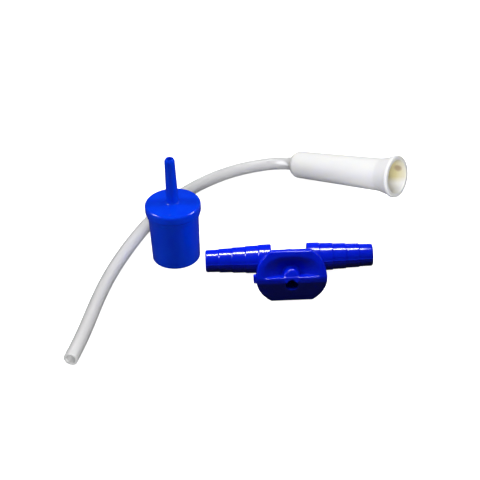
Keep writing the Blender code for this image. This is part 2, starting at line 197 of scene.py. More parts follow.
soft_box("cap_front_box", IN_FRONT, radians(28), 0.75, (0.40, 0.40), 2.5, side_lit)
soft_box("front_box", IN_FRONT, radians(36), 0.75, (0.50, 0.50), 3.6, front_lit)
soft_box("low_box", IN_FRONT, radians(5), 0.75, (0.40, 0.40), 4.6, front_lit)
soft_box("top_box", BEHIND, radians(75), 0.70, (0.30, 0.30), 2.4, front_lit, mirrored=True)
soft_box("back_box", BEHIND, radians(30), 0.75, (0.50, 0.40), 2.4, front_lit)

lens = bpy.data.cameras.new("camera")
lens.lens = CAMERA_LENS
lens.sensor_width = CAMERA_SENSOR
lens.clip_start = 0.01
camera = bpy.data.objects.new("camera", lens)
scene.collection.objects.link(camera)
to_camera = look_from(CAMERA_AZIMUTH, CAMERA_ELEVATION)
camera.location = LAYOUT + to_camera * CAMERA_AWAY
level_view = (-to_camera).to_track_quat("-Z", "Y").to_matrix()
camera.rotation_euler = (level_view @ Matrix.Rotation(-CAMERA_ROLL, 3, "Z")).to_euler()
scene.camera = camera

# Suction tube
# Milky clear soft vinyl hose, extruded and cut square at its free end. The other end
# widens a little where it is pushed 10 mm into the connector.
TUBE_D = 0.0048
TUBE_LUMEN_D = 0.0033
TUBE_SWELL = 0.0006         # how much wider it is at the connector
TUBE_SWELL_L = 0.0140       # the stretch over which it widens
TUBE_GRIP = 0.0100          # pushed into the connector
TUBE_LEAD = 0.0020          # straight stretch just outside the connector
TUBE_REST = 0.00005         # air under it
TUBE_CUT_EDGE = 0.00015
TUBE_STATIONS = 130
TUBE_SPACING = 0.001        # between the points of its centre line
EVENING_PASSES = 60
HIGHLIGHT_STEPS = 6            # points back from its end, where its painted highlight lies
HIGHLIGHT_SIDE = radians(37)   # the side of the hose on which the painted highlight lies
HIGHLIGHT_UP = radians(35)
HIGHLIGHT_SIZE = (0.0026, 0.0016, 0.0007)
FUNNEL_AT = (-0.00816, 0.04917)     # centre of the connector's small end
FUNNEL_LIFT = radians(12)           # the springy hose holds the connector's mouth up

# The hose's centre line from the open tip to the connector: x, y and its rise over
# the height at which it lies on the table.
TUBE_ROUTE = [
    (-0.0048, -0.0882, 0.0),
    (-0.0092, -0.0776, 0.0),
    (-0.0138, -0.0682, 0.0),
    (-0.0200, -0.0555, 0.0),
    (-0.0259, -0.0406, 0.0),
    (-0.0303, -0.0257, 0.0),
    (-0.0332, -0.0130, 0.0),
    (-0.0348, 0.0000, 0.0),
    (-0.0345, 0.0130, 0.0),
    (-0.0325, 0.0236, 0.0),
    (-0.0290, 0.0331, 0.0),
    (-0.0262, 0.0379, 0.0),
    (-0.0230, 0.0423, 0.00008),
    (-0.0192, 0.0460, 0.00038),
    (-0.0150, 0.0485, 0.00105),
]


def smooth_path(knots, spacing):
    """Points about spacing apart on a smooth curve through all the knots."""
    points = []
    ends = [knots[0] * 2 - knots[1]] + knots + [knots[-1] * 2 - knots[-2]]
    for before, a, b, after in zip(ends, ends[1:], ends[2:], ends[3:]):
        steps = max(1, round((b - a).length / spacing))
        for k in range(steps):
            t = k / steps
            points.append(0.5 * ((2 * a) + (b - before) * t
                                 + (2 * before - 5 * a + 4 * b - after) * t ** 2
                                 + (3 * a - before - 3 * b + after) * t ** 3))
    return points + [knots[-1]]


MOST_OF_SIDE = 0.48         # the share of a side that one fillet may take


def rounded(corners, closed=False, steps=8):
    """Turns corners (across, along, radius) into points, each radius as an arc."""
    points = []
    count = len(corners)
    for i, (across, along, radius) in enumerate(corners):
        at_end = not closed and i in (0, count - 1)
        if radius == 0 or at_end:
            points.append((across, along))
            continue
        here = Vector((across, along))
        to_last = Vector(corners[i - 1][:2]) - here
        to_next = Vector(corners[(i + 1) % count][:2]) - here
        half = to_last.angle(to_next) / 2
        # A fillet takes less than half of the shorter side beside its corner.
        reach = min(radius / tan(half), MOST_OF_SIDE * to_last.length,
                    MOST_OF_SIDE * to_next.length)
        radius = reach * tan(half)
        inward = (to_last.normalized() + to_next.normalized()).normalized()
        middle = here + inward * (radius / sin(half))
        first = (here + to_last.normalized() * reach - middle).normalized()
        last = (here + to_next.normalized() * reach - middle).normalized()
        points += [tuple(middle + first.slerp(last, k / steps) * radius) for k in range(steps + 1)]
    return points


def new_line(name, points):
    """A curve object of straight stretches between points, for a tree to follow."""
    curve = bpy.data.curves.new(name, "CURVE")
    curve.dimensions = "3D"
    spline = curve.splines.new("POLY")
    spline.points.add(len(points) - 1)
    for point, place in zip(spline.points, points):
        point.co = (*place, 1)
    made = bpy.data.objects.new(name, curve)
    bpy.context.scene.collection.objects.link(made)
    return made


WELD = 1e-7                 # points nearer than this are one
PARTING_W = 0.0003          # half the width of a parting line, which is a fine ridge


def wall_tree():
    """Carries an outline of (radius, distance) round a line, as a lathe does.

    The outline comes as the vertices of the modifier's own mesh. Each ring of a bare
    cylinder takes one of them: its distance along the line and its radius there. A
    parting line, where a mould has one, runs as a fine ridge down two opposite sides.
    """
    tree = bpy.data.node_groups.new("wall_round_line", "GeometryNodeTree")
    sockets = tree.interface
    sockets.new_socket("Outline", in_out="INPUT", socket_type="NodeSocketGeometry")
    sockets.new_socket("Line", in_out="INPUT", socket_type="NodeSocketObject")
    sockets.new_socket("Sides", in_out="INPUT", socket_type="NodeSocketInt")
    sockets.new_socket("Parting line", in_out="INPUT", socket_type="NodeSocketFloat")
    sockets.new_socket("Parting width", in_out="INPUT", socket_type="NodeSocketFloat")
    sockets.new_socket("Material", in_out="INPUT", socket_type="NodeSocketMaterial")
    sockets.new_socket("Wall", in_out="OUTPUT", socket_type="NodeSocketGeometry")
    given = add_node(tree, "NodeGroupInput").outputs
    count = add_node(tree, "GeometryNodeAttributeDomainSize", (given["Outline"],))
    last = add_node(tree, "ShaderNodeMath", (count.outputs["Point Count"], 1), operation="SUBTRACT")
    grid = add_node(tree, "GeometryNodeMeshCylinder", {
        "Vertices": given["Sides"], "Side Segments": last.outputs[0]}, fill_type="NONE")
    index = add_node(tree, "GeometryNodeInputIndex")
    turn = add_node(tree, "ShaderNodeMath", (index.outputs[0], given["Sides"]), operation="DIVIDE")
    ring = add_node(tree, "ShaderNodeMath", (turn.outputs[0],), operation="FLOOR")
    place = add_node(tree, "GeometryNodeInputPosition")
    corner = add_node(tree, "GeometryNodeSampleIndex", {
        "Geometry": given["Outline"], "Value": place.outputs[0], "Index": ring.outputs[0]},
        data_type="FLOAT_VECTOR")
    corner = add_node(tree, "ShaderNodeSeparateXYZ", (corner.outputs[0],)).outputs
    # The ridge is a narrow bell across the two angles where sine passes nought.
    part = add_node(tree, "ShaderNodeMath", (turn.outputs[0],), operation="FRACT")
    angle = add_node(tree, "ShaderNodeMath", (part.outputs[0], 2 * pi), operation="MULTIPLY")
    cosine = add_node(tree, "ShaderNodeMath", (angle.outputs[0],), operation="COSINE")
    sine = add_node(tree, "ShaderNodeMath", (angle.outputs[0],), operation="SINE")
    off = add_node(tree, "ShaderNodeMath", (sine.outputs[0], corner["X"]), operation="MULTIPLY")
    off = add_node(tree, "ShaderNodeMath", (off.outputs[0],), operation="ABSOLUTE")
    ridge = add_node(tree, "ShaderNodeMapRange", {
        "Value": off.outputs[0], "From Max": given["Parting width"],
        "To Min": given["Parting line"], "To Max": 0.0}, interpolation_type="SMOOTHSTEP")
    radius = add_node(tree, "ShaderNodeMath", (corner["X"], ridge.outputs[0]), operation="ADD")
    line = add_node(tree, "GeometryNodeObjectInfo", (given["Line"],))
    line = add_node(tree, "GeometryNodeSetCurveNormal", (line.outputs["Geometry"],), mode="Z_UP")
    at = add_node(tree, "GeometryNodeSampleCurve", {
        "Curves": line.outputs[0], "Length": corner["Z"]}, mode="LENGTH").outputs
    upright = add_node(tree, "ShaderNodeVectorMath", (at["Tangent"], at["Normal"]),
                       operation="CROSS_PRODUCT")
    level = add_node(tree, "ShaderNodeVectorMath", {0: at["Normal"], "Scale": cosine.outputs[0]},
                     operation="SCALE")
    rise = add_node(tree, "ShaderNodeVectorMath", {0: upright.outputs[0],
                                                   "Scale": sine.outputs[0]}, operation="SCALE")
    arm = add_node(tree, "ShaderNodeVectorMath", (level.outputs[0], rise.outputs[0]),
                   operation="ADD")
    arm = add_node(tree, "ShaderNodeVectorMath", {0: arm.outputs[0], "Scale": radius.outputs[0]},
                   operation="SCALE")
    spot = add_node(tree, "ShaderNodeVectorMath", (at["Position"], arm.outputs[0]), operation="ADD")
    wall = add_node(tree, "GeometryNodeSetPosition", {"Geometry": grid.outputs["Mesh"],
                                                      "Position": spot.outputs[0]})
    welded = add_node(tree, "GeometryNodeMergeByDistance", {"Geometry": wall.outputs[0],
                                                            "Distance": WELD})
    real = add_node(tree, "GeometryNodeRealizeInstances", (welded.outputs[0],))
    dressed = add_node(tree, "GeometryNodeSetMaterial", {"Geometry": real.outputs[0],
                                                         "Material": given["Material"]})
    add_node(tree, "NodeGroupOutput", (dressed.outputs[0],))
    return tree


WALL_TREE = wall_tree()


SHARP = radians(30)         # what bends more than this is a real edge
SLIVER = 1e-8               # edges shorter than this go


def finish_piece(name, mesh):
    """Makes a mesh a piece: welded, faces outwards, smooth but for its real edges."""
    bm = bmesh.new()
    bm.from_mesh(mesh)
    bmesh.ops.remove_doubles(bm, verts=bm.verts, dist=WELD)
    bmesh.ops.dissolve_degenerate(bm, edges=bm.edges, dist=SLIVER)
    bmesh.ops.recalc_face_normals(bm, faces=bm.faces)
    bm.to_mesh(mesh)
    bm.free()
    mesh.shade_smooth()
    mesh.set_sharp_from_angle(angle=SHARP)
    mesh.name = name
    made = bpy.data.objects.new(name, mesh)
    bpy.context.scene.collection.objects.link(made)
    return made


def walled(name, outline, line_points, material, sides=96, parting=0.0):
    """A round piece: its outline carried round its centre line by the wall tree."""
    mesh = bpy.data.meshes.new(name)
    mesh.from_pydata([(radius, 0, along) for radius, along in outline], [], [])
    source = bpy.data.objects.new(name + "_outline", mesh)
    bpy.context.scene.collection.objects.link(source)
    line = new_line(name + "_line", line_points)
    step = source.modifiers.new("wall", "NODES")
    step.node_group = WALL_TREE
    sizes = {"Line": line, "Sides": sides, "Parting line": parting,
             "Parting width": PARTING_W, "Material": material}
    for socket in WALL_TREE.interface.items_tree:
        if socket.name in sizes:
            step[socket.identifier] = sizes[socket.name]
    depsgraph = bpy.context.evaluated_depsgraph_get()
    made = bpy.data.meshes.new_from_object(source.evaluated_get(depsgraph))
    bpy.data.objects.remove(source, do_unlink=True)
    bpy.data.objects.remove(line, do_unlink=True)
    return finish_piece(name, made)


def clear_vinyl(highlight_at, highlight_turn):
    """Plasticised PVC, extruded: milky clear and satin, with a painted highlight at one place."""
    made, tree = empty_material("clear_vinyl_hose")
    place = add_node(tree, "ShaderNodeTexCoord").outputs["Object"]
    # Haze clouds 7 mm across, and a grain of about 1 mm in the gloss.
    haze = add_node(tree, "ShaderNodeTexNoise", {"Vector": place, "Scale": 140.0, "Detail": 3.0})
    grain = add_node(tree, "ShaderNodeTexNoise", {"Vector": place, "Scale": 900.0, "Detail": 2.0})
    tint = add_node(tree, "ShaderNodeMix", {
        "Factor": haze.outputs[0], "A": srgb("#FAFAFA"), "B": srgb("#FFFFFE")}, data_type="RGBA")
    # Where it bends into the connector, a small lens is painted as an opaque white highlight.
    highlight_place = add_node(tree, "ShaderNodeMapping", {
        "Vector": place, "Location": highlight_at, "Rotation": (0, 0, highlight_turn),
        "Scale": HIGHLIGHT_SIZE}, vector_type="TEXTURE")
    far_off = add_node(tree, "ShaderNodeVectorMath", (highlight_place.outputs[0],), operation="LENGTH")
    highlight_mask = add_node(tree, "ShaderNodeMapRange", {
        "Value": far_off.outputs["Value"], "From Min": 1.05, "From Max": 0.9})
    tint = add_node(tree, "ShaderNodeMix", {
        "Factor": highlight_mask.outputs[0], "A": tint.outputs["Result"], "B": srgb("#FFFFFF")},
        data_type="RGBA")
    satin = add_node(tree, "ShaderNodeMapRange", {
        "Value": grain.outputs[0], "To Min": 0.30, "To Max": 0.42})
    bump = add_node(tree, "ShaderNodeBump", {
        "Height": grain.outputs[0], "Strength": 0.25, "Distance": 0.00003})
    clear = add_node(tree, "ShaderNodeMapRange", {
        "Value": highlight_mask.outputs[0], "To Min": 0.2, "To Max": 0.0})
    milky = add_node(tree, "ShaderNodeMapRange", {
        "Value": highlight_mask.outputs[0], "To Min": 0.9, "To Max": 0.0})
    shader = add_node(tree, "ShaderNodeBsdfPrincipled", {
        "Base Color": tint.outputs["Result"], "Roughness": satin.outputs[0], "IOR": 1.5,
        "Transmission Weight": clear.outputs[0], "Subsurface Weight": milky.outputs[0],
        "Subsurface Radius": (1.0, 1.0, 1.0), "Subsurface Scale": 0.0030,
        "Normal": bump.outputs[0]})
    add_node(tree, "ShaderNodeOutputMaterial", {"Surface": shader.outputs[0]})
    return made


def hose_outline(length):
    """Wall of the hose: round its cut end, along the outside, and back in the lumen."""
    outside, lumen, edge = TUBE_D / 2, TUBE_LUMEN_D / 2, TUBE_CUT_EDGE
    outer, inner = [], []
    for k in range(1, TUBE_STATIONS + 1):
        along = length * k / TUBE_STATIONS
        share = min(1, max(0, (along - length + TUBE_SWELL_L) / (TUBE_SWELL_L - TUBE_GRIP)))
        swell = TUBE_SWELL / 2 * share ** 2 * (3 - 2 * share)
        outer.append((outside + swell, along))
        inner.append((lumen + swell, along))
    cut = rounded([(lumen, edge * 3, 0), (lumen, 0, edge), (outside, 0, edge),
                   (outside, edge * 3, 0)])
    outline = cut + outer + inner[::-1]
    return outline + outline[:1]


def funnel_rest_height(outline):
    """Height of the small end's centre, with its lower shoulder on the table."""
    return max(radius * cos(FUNNEL_LIFT) - along * sin(FUNNEL_LIFT) for radius, along in outline)


# The connector's wall, from its small end: it holds the hose, then opens to its mouth.
FUNNEL_L = 0.0470
FUNNEL_SMALL_D = 0.0104
FUNNEL_BODY_D = 0.0124      # where the body meets the flare
FUNNEL_MOUTH_D = 0.0158
FLARE_L = 0.0070
FLARE_R = 0.0060            # outside curve where the flare leaves the body
FUNNEL_NOSE = 0.0016        # rounded shoulder of the small end
SHOULDER = 0.0010           # how far that shoulder draws in
FUNNEL_BORE_D = 0.0080      # at the foot of the tapered bore
FUNNEL_THROAT_D = 0.0094    # where the bore meets the mouth
THROAT_R = 0.0040
FUNNEL_LIP_T = 0.0016
FUNNEL_RIM_L = 0.0014       # length of the rim's own band
FUNNEL_RIM_STEP = 0.0004    # how far that band stands out from the flare
BORE_FOOT = 0.0190          # small end to the foot of the tapered bore
BORE_CONE_L = 0.0030        # cone between the lumen and the tapered bore
CLEARANCE = 0.0003          # between the hose and the connector that holds it
FINE_EDGE = 0.0002          # radii on the edges of the mouldings
THIN_EDGE = 0.0003
EDGE = 0.0004
LIP_EDGE = 0.0005
SOFT_EDGE = 0.0007
ROUND_EDGE = 0.0010


def funnel_outline():
    """Outside from the mouth to the small end, then the hose's seat and the bore."""
    small, body, mouth = FUNNEL_SMALL_D / 2, FUNNEL_BODY_D / 2, FUNNEL_MOUTH_D / 2
    seat = (TUBE_D + TUBE_SWELL) / 2 + CLEARANCE / 4
    throat = FUNNEL_L - FLARE_L
    points = rounded([
        (mouth, FUNNEL_L, LIP_EDGE),
        (mouth, FUNNEL_L - FUNNEL_RIM_L, THIN_EDGE),
        (mouth - FUNNEL_RIM_STEP, FUNNEL_L - FUNNEL_RIM_L, FINE_EDGE),
        (body, throat, FLARE_R),
        (small, FUNNEL_NOSE, FUNNEL_NOSE),
        (small - SHOULDER, 0, SOFT_EDGE),
        (seat, 0, THIN_EDGE),
        (seat, TUBE_GRIP + CLEARANCE, 0),
        (TUBE_LUMEN_D / 2, TUBE_GRIP + CLEARANCE, FINE_EDGE / 2),
        (TUBE_LUMEN_D / 2, BORE_FOOT - BORE_CONE_L, ROUND_EDGE),
        (FUNNEL_BORE_D / 2, BORE_FOOT, ROUND_EDGE),
        (FUNNEL_THROAT_D / 2, throat, THROAT_R),
        (mouth - FUNNEL_LIP_T, FUNNEL_L, THIN_EDGE),
    ], closed=True)
    return points + points[:1]


FUNNEL_AXIS = Vector((cos(FUNNEL_LIFT), 0, sin(FUNNEL_LIFT)))
funnel_start = LAYOUT + Vector((*FUNNEL_AT, funnel_rest_height(funnel_outline())))
lying = TUBE_D / 2 + TUBE_REST
hose_knots = [LAYOUT + Vector((x, y, lying + rise)) for x, y, rise in TUBE_ROUTE]
hose_line = smooth_path(hose_knots + [funnel_start - FUNNEL_AXIS * TUBE_LEAD], TUBE_SPACING)
# A springy hose has no tight bend: each pass evens the bends out a little.
for _ in range(EVENING_PASSES):
    middles = [(a + b * 2 + c) / 4 for a, b, c in zip(hose_line, hose_line[1:], hose_line[2:])]
    hose_line = [hose_line[0], *middles, hose_line[-1]]
hose_line.append(funnel_start + FUNNEL_AXIS * TUBE_GRIP)
hose_length = sum((b - a).length for a, b in zip(hose_line, hose_line[1:]))
# The painted highlight lies on the hose's upper side, a few points back from the connector.
painted_highlight_at = hose_line[-HIGHLIGHT_STEPS] + look_from(HIGHLIGHT_SIDE, HIGHLIGHT_UP) * TUBE_D / 2
heading = hose_line[1 - HIGHLIGHT_STEPS] - hose_line[-1 - HIGHLIGHT_STEPS]
hose = walled("suction_hose", hose_outline(hose_length), hose_line,
              clear_vinyl(painted_highlight_at, atan2(heading.y, heading.x)), sides=56)
front_lit.objects.link(hose)
hose.visible_glossy = False     # the cap's side mirrors no hose
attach(hose, "root")
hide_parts("suction_tube")

# Funnel connector
# Soft white vinyl, dipped or moulded in one: its small end grips the hose, and its
# flared mouth takes the tubing of a suction pump. The springy hose holds it up.
BORE_SHADE_FROM = 0.3         # share of its length past which the bore's walls carry painted shade
OPENS_FROM = 0.82           # share of its length past which the bore opens
OPENS_BY = 0.0013
FLOOR_SHARE = 0.6           # how far below the axis, in bore radii, the bore turns white
BROWN_SPOT_AT = (0.94, 1.1, 0.1)     # in lengths and bore radii, along its own axes
BROWN_SPOT_SIZE = (0.0016, 0.0016, 0.0014)


def white_vinyl(start, lift, length, inner, outer):
    """Soft white PVC, moulded: satin, with a painted yellowish shade on the walls of its bore."""
    made, tree = empty_material("soft_white_vinyl")
    place = add_node(tree, "ShaderNodeTexCoord").outputs["Object"]
    # Mottling 12 mm across, a soft skin of 2 mm dimples and a fine 0.4 mm grain.
    mottle = add_node(tree, "ShaderNodeTexNoise", {"Vector": place, "Scale": 80.0, "Detail": 2.0})
    skin = add_node(tree, "ShaderNodeTexNoise", {"Vector": place, "Scale": 450.0, "Detail": 2.0})
    grain = add_node(tree, "ShaderNodeTexNoise", {"Vector": place, "Scale": 2500.0})
    tint = add_node(tree, "ShaderNodeMix", {
        "Factor": mottle.outputs[0], "A": srgb("#F3F3F1"), "B": srgb("#F9F9F8")},
        data_type="RGBA")
    # Seen along its own axis, every face nearer to it than the outer wall is bore.
    own = add_node(tree, "ShaderNodeMapping", {
        "Vector": place, "Location": start, "Rotation": (0, -lift, 0)}, vector_type="TEXTURE")
    flat = add_node(tree, "ShaderNodeVectorMath", (own.outputs[0], (0, 1, 1)),
                    operation="MULTIPLY")
    off = add_node(tree, "ShaderNodeVectorMath", (flat.outputs[0],), operation="LENGTH")
    along = add_node(tree, "ShaderNodeSeparateXYZ", (own.outputs[0],))
    opened = add_node(tree, "ShaderNodeMapRange", {
        "Value": along.outputs["X"], "From Min": length * OPENS_FROM, "From Max": length,
        "To Max": OPENS_BY})
    off = add_node(tree, "ShaderNodeMath", (off.outputs["Value"], opened.outputs[0]),
                   operation="SUBTRACT")
    inside = add_node(tree, "ShaderNodeMapRange", {
        "Value": off.outputs[0], "From Min": outer, "From Max": inner})
    past_seat = add_node(tree, "ShaderNodeMath", (along.outputs["X"], length * BORE_SHADE_FROM),
                         operation="GREATER_THAN")
    inside = add_node(tree, "ShaderNodeMath", (inside.outputs[0], past_seat.outputs[0]),
                      operation="MULTIPLY")
    # The floor of the bore faces the light, so the painted shade leaves it white.
    shaded = add_node(tree, "ShaderNodeMapRange", {
        "Value": along.outputs["Z"], "From Min": -inner, "From Max": -inner * FLOOR_SHARE})
    inside = add_node(tree, "ShaderNodeMath", (inside.outputs[0], shaded.outputs[0]),
                      operation="MULTIPLY")
    # The walls of the bore are painted a yellowish shade.
    tint = add_node(tree, "ShaderNodeMix", {
        "Factor": inside.outputs[0], "A": tint.outputs["Result"], "B": srgb("#D5CC9E")},
        data_type="RGBA")
    # A brownish spot of 3 mm is painted on the far wall just inside the lip.
    brown_spot_at = (length * BROWN_SPOT_AT[0], inner * BROWN_SPOT_AT[1], inner * BROWN_SPOT_AT[2])
    spot = add_node(tree, "ShaderNodeMapping", {
        "Vector": own.outputs[0], "Location": brown_spot_at, "Scale": BROWN_SPOT_SIZE},
        vector_type="TEXTURE")
    far_off = add_node(tree, "ShaderNodeVectorMath", (spot.outputs[0],), operation="LENGTH")
    brown_spot = add_node(tree, "ShaderNodeMapRange", {
        "Value": far_off.outputs["Value"], "From Min": 1.2, "From Max": 0.6})
    tint = add_node(tree, "ShaderNodeMix", {
        "Factor": brown_spot.outputs[0], "A": tint.outputs["Result"], "B": srgb("#B3A184")},
        data_type="RGBA")
    satin = add_node(tree, "ShaderNodeMapRange", {
        "Value": skin.outputs[0], "To Min": 0.36, "To Max": 0.50})
    dimples = add_node(tree, "ShaderNodeBump", {
        "Height": skin.outputs[0], "Strength": 0.3, "Distance": 0.00006})
    bump = add_node(tree, "ShaderNodeBump", {
        "Height": grain.outputs[0], "Strength": 0.2, "Distance": 0.00001,
        "Normal": dimples.outputs[0]})
    shader = add_node(tree, "ShaderNodeBsdfPrincipled", {
        "Base Color": tint.outputs["Result"], "Roughness": satin.outputs[0], "IOR": 1.53,
        "Subsurface Weight": 0.25, "Subsurface Radius": (1.0, 0.9, 0.6),
        "Subsurface Scale": 0.0015, "Normal": bump.outputs[0]})
    add_node(tree, "ShaderNodeOutputMaterial", {"Surface": shader.outputs[0]})
    return made


funnel = walled("funnel", funnel_outline(), [funnel_start, funnel_start + FUNNEL_AXIS * FUNNEL_L],
                white_vinyl(funnel_start, FUNNEL_LIFT, FUNNEL_L, FUNNEL_THROAT_D / 2,
                            FUNNEL_SMALL_D / 2), sides=144)
front_lit.objects.link(funnel)
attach(funnel, "root")
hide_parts("funnel_connector")

# Adapter cap
# Glossy blue polypropylene, injection moulded: a 15 mm female cone under a collar,
# and on top the bored spigot. It stands on its open end.
COLLAR_D = 0.0200
COLLAR_H = 0.0031
SKIRT_TOP_D = 0.0181
SKIRT_FOOT_D = 0.0173
CAP_H = 0.0230              # open end to the top face
CAP_CROWN = 0.0005          # how far the top face rises to the spigot
SOCKET_MOUTH_D = 0.01545    # female cone
SOCKET_TAPER = 1 / 40
SOCKET_DEPTH = 0.0185
SOCKET_CONE = 0.0004        # slope of the socket's end, towards the spigot's bore
STEP_BAND = 0.0017          # second, lower step under the collar
SPIGOT_L = 0.0178
SPIGOT_FOOT_D = 0.0044
SPIGOT_TIP_D = 0.0037
SPIGOT_BORE_D = 0.0023
SPIGOT_ROOT = 0.0010        # blend where the spigot leaves the top face
SPIGOT_NOSE = 0.0009        # over this height the tip rounds in to its bore
DULLEST = 1.8               # roughest over smoothest of the blue plastic's gloss


def moulded_blue(name, deep, light, through, polish):
    """Blue polypropylene: high gloss, flow marks, and light going through where it is thin."""
    made, tree = empty_material(name)
    place = add_node(tree, "ShaderNodeTexCoord").outputs["Object"]
    # Flow marks 8 mm across, which dull the polish in part, ripples of 2 mm in the
    # gloss, and a 0.3 mm orange peel.
    flow = add_node(tree, "ShaderNodeTexNoise", {"Vector": place, "Scale": 120.0, "Detail": 2.0,
                                                 "Distortion": 0.6})
    ripple = add_node(tree, "ShaderNodeTexNoise", {"Vector": place, "Scale": 480.0, "Detail": 1.0})
    peel = add_node(tree, "ShaderNodeTexNoise", {"Vector": place, "Scale": 3200.0})
    tint = add_node(tree, "ShaderNodeMix", {
        "Factor": flow.outputs[0], "A": srgb(deep), "B": srgb(light)}, data_type="RGBA")
    gloss = add_node(tree, "ShaderNodeMapRange", {
        "Value": flow.outputs[0], "To Min": polish, "To Max": polish * DULLEST})
    waves = add_node(tree, "ShaderNodeBump", {
        "Height": ripple.outputs[0], "Strength": 0.35, "Distance": 0.00005})
    bump = add_node(tree, "ShaderNodeBump", {
        "Height": peel.outputs[0], "Strength": 0.15, "Distance": 0.00001,
        "Normal": waves.outputs[0]})
    shader = add_node(tree, "ShaderNodeBsdfPrincipled", {
        "Base Color": tint.outputs["Result"], "Roughness": gloss.outputs[0], "IOR": 1.49,
        "Subsurface Weight": through, "Subsurface Radius": (0.2, 0.4, 1.0),
        "Subsurface Scale": 0.0025, "Normal": bump.outputs[0]})
    add_node(tree, "ShaderNodeOutputMaterial", {"Surface": shader.outputs[0]})
    return made


def cap_outline():
    """Down the outside from the spigot's tip, then up the socket and the bore."""
    collar, foot, skirt = COLLAR_D / 2, SKIRT_FOOT_D / 2, SKIRT_TOP_D / 2
    tip = CAP_H + CAP_CROWN + SPIGOT_L
    bore = SPIGOT_BORE_D / 2
    mouth = SOCKET_MOUTH_D / 2
    socket_top = mouth - SOCKET_DEPTH * SOCKET_TAPER / 2
    under_collar = CAP_H - COLLAR_H
    step = (collar + skirt) / 2
    points = rounded([
        (bore + SPIGOT_NOSE / 4, tip, FINE_EDGE),
        (SPIGOT_TIP_D / 2, tip - SPIGOT_NOSE, SPIGOT_NOSE),
        (SPIGOT_FOOT_D / 2, CAP_H + CAP_CROWN, SPIGOT_ROOT),
        (collar, CAP_H, ROUND_EDGE),
        (collar, under_collar, EDGE),
        (step, under_collar - STEP_BAND / 4, FINE_EDGE),
        (step, under_collar - STEP_BAND, THIN_EDGE),
        (skirt, under_collar - STEP_BAND, FINE_EDGE),
        (foot, 0, THIN_EDGE),
        (mouth, 0, FINE_EDGE),
        (socket_top, SOCKET_DEPTH, SOFT_EDGE),
        (bore * 1.5, SOCKET_DEPTH + SOCKET_CONE, FINE_EDGE),
        (bore, SOCKET_DEPTH + 3 * SOCKET_CONE, THIN_EDGE),
        (bore, tip, FINE_EDGE),
    ], closed=True)
    return points + points[:1]


cap_foot = LAYOUT + Vector((*CAP_AT, 0))
cap_top = cap_foot + Vector((0, 0, CAP_H + CAP_CROWN + SPIGOT_L))
cap = walled("cap", cap_outline(), [cap_foot, cap_top],
             moulded_blue("cap_blue_polypropylene", "#0036DC", "#0042EC", 0.5, 0.13),
             sides=160)
side_lit.objects.link(cap)
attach(cap, "root")
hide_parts("tube_adapter")

# Fingertip control
# One blue moulding: a pipe with a stepped barb at each end, a branch, and the
# hollowed thumb pad whose ridge and raised nib find the vent by feel.
BARB_STEPS = 5
BARB_STEP_L = 0.00468
BARB_COLLAR_D = 0.0104
BARB_TIP_D = 0.0079
BARB_STEP_H = 0.00022       # how far each step drops towards the tip
BARB_STEP_CHAMFER = 0.0004
MID_PIPE_D = 0.0062
MID_PIPE_L = 0.0126         # between the two collars
PIPE_BORE_D = 0.0036
PIPE_BORE_CHAMFER = 0.0003
BRANCH_D = 0.0072
BRANCH_FLARE_D = 0.0140     # where the branch meets the back of the pad
BRANCH_FLARE_L = 0.0034
PAD_W = 0.0243
PAD_OVAL = 0.92             # the pad's round outline is a little wider than tall
PAD_HALF_H = 0.0091         # pad centre to its top and bottom flats
PAD_BACK = 0.0144           # pipe axis to the back of the pad
PAD_EDGE_T = 0.0028         # thickness at the rim
PAD_CHAMFER = 0.0008        # slope round the back of the rim
RIDGE_RISE = 0.0030         # how far the ridge stands out over the rim
RIDGE_LOW = -0.0014         # ridge's flat, from the pad's middle
RIDGE_HIGH = 0.0003
RIDGE_LIP = 0.0003          # lip left between the ridge's flat and the bowl
BOWL_RIM = 0.0008
BOWL_DEPTH = 0.0046
BOWL_SQUARE = 2.6           # 2 would be an oval bowl, more a squarer one
BOWL_FLOOR = 1.5            # powers that give the bowl its flat floor and its flared rim
BOWL_FLARE = 1.6
NIB_FOOT_D = 0.0070
NIB_TOP_D = 0.0052
NIB_SLOPE = 0.55            # fall of its top face, towards the pad's top
NIB_SHORT = 0.0002          # how far it ends behind the ridge's front
VENT_D = 0.0040
VENT_DROP = 0.0024          # vent mouth below the pad's middle
VENT_THROAT_D = 0.0030
VENT_CONE_L = 0.0020        # cone between the throat and the mouth
TAB_OUT = 0.0009            # small gate tab on the pad's edge
TAB_H = 0.0030
TAB_T = 0.0020
TAB_DROP = 0.0011
CUT_PAST = 0.0010           # how far a cutter runs past what it cuts
SUNK = 0.0004               # how far a joined form starts inside the other
SKIN = 0.00018              # grid on which the pad's forms are melted into one skin
SKIN_PASSES = 11            # how often that skin is smoothed
PARTING_H = 0.00018         # height of the parting line on the barbs
CONTROL_AT = (0.02558, -0.00544)
CONTROL_TURN = radians(37)

RIM_FRONT = PAD_BACK + PAD_EDGE_T
RIDGE_FRONT = RIM_FRONT + RIDGE_RISE


def solid(name, outline, start, end, sides=96):
    """A round solid whose outline starts and ends on its line."""
    return walled(name, outline, [Vector(start), Vector(end)], control_blue, sides)


def prism(name, outline, left, right):
    """A prism along X of an outline of (distance out, height)."""
    bm = bmesh.new()
    face = bm.faces.new([bm.verts.new((left, -out, up)) for out, up in outline])
    pushed = bmesh.ops.extrude_face_region(bm, geom=[face])
    moved = [v for v in pushed["geom"] if isinstance(v, bmesh.types.BMVert)]
    bmesh.ops.translate(bm, verts=moved, vec=(right - left, 0, 0))
    mesh = bpy.data.meshes.new(name)
    bm.to_mesh(mesh)
    bm.free()
    return finish_piece(name, mesh)


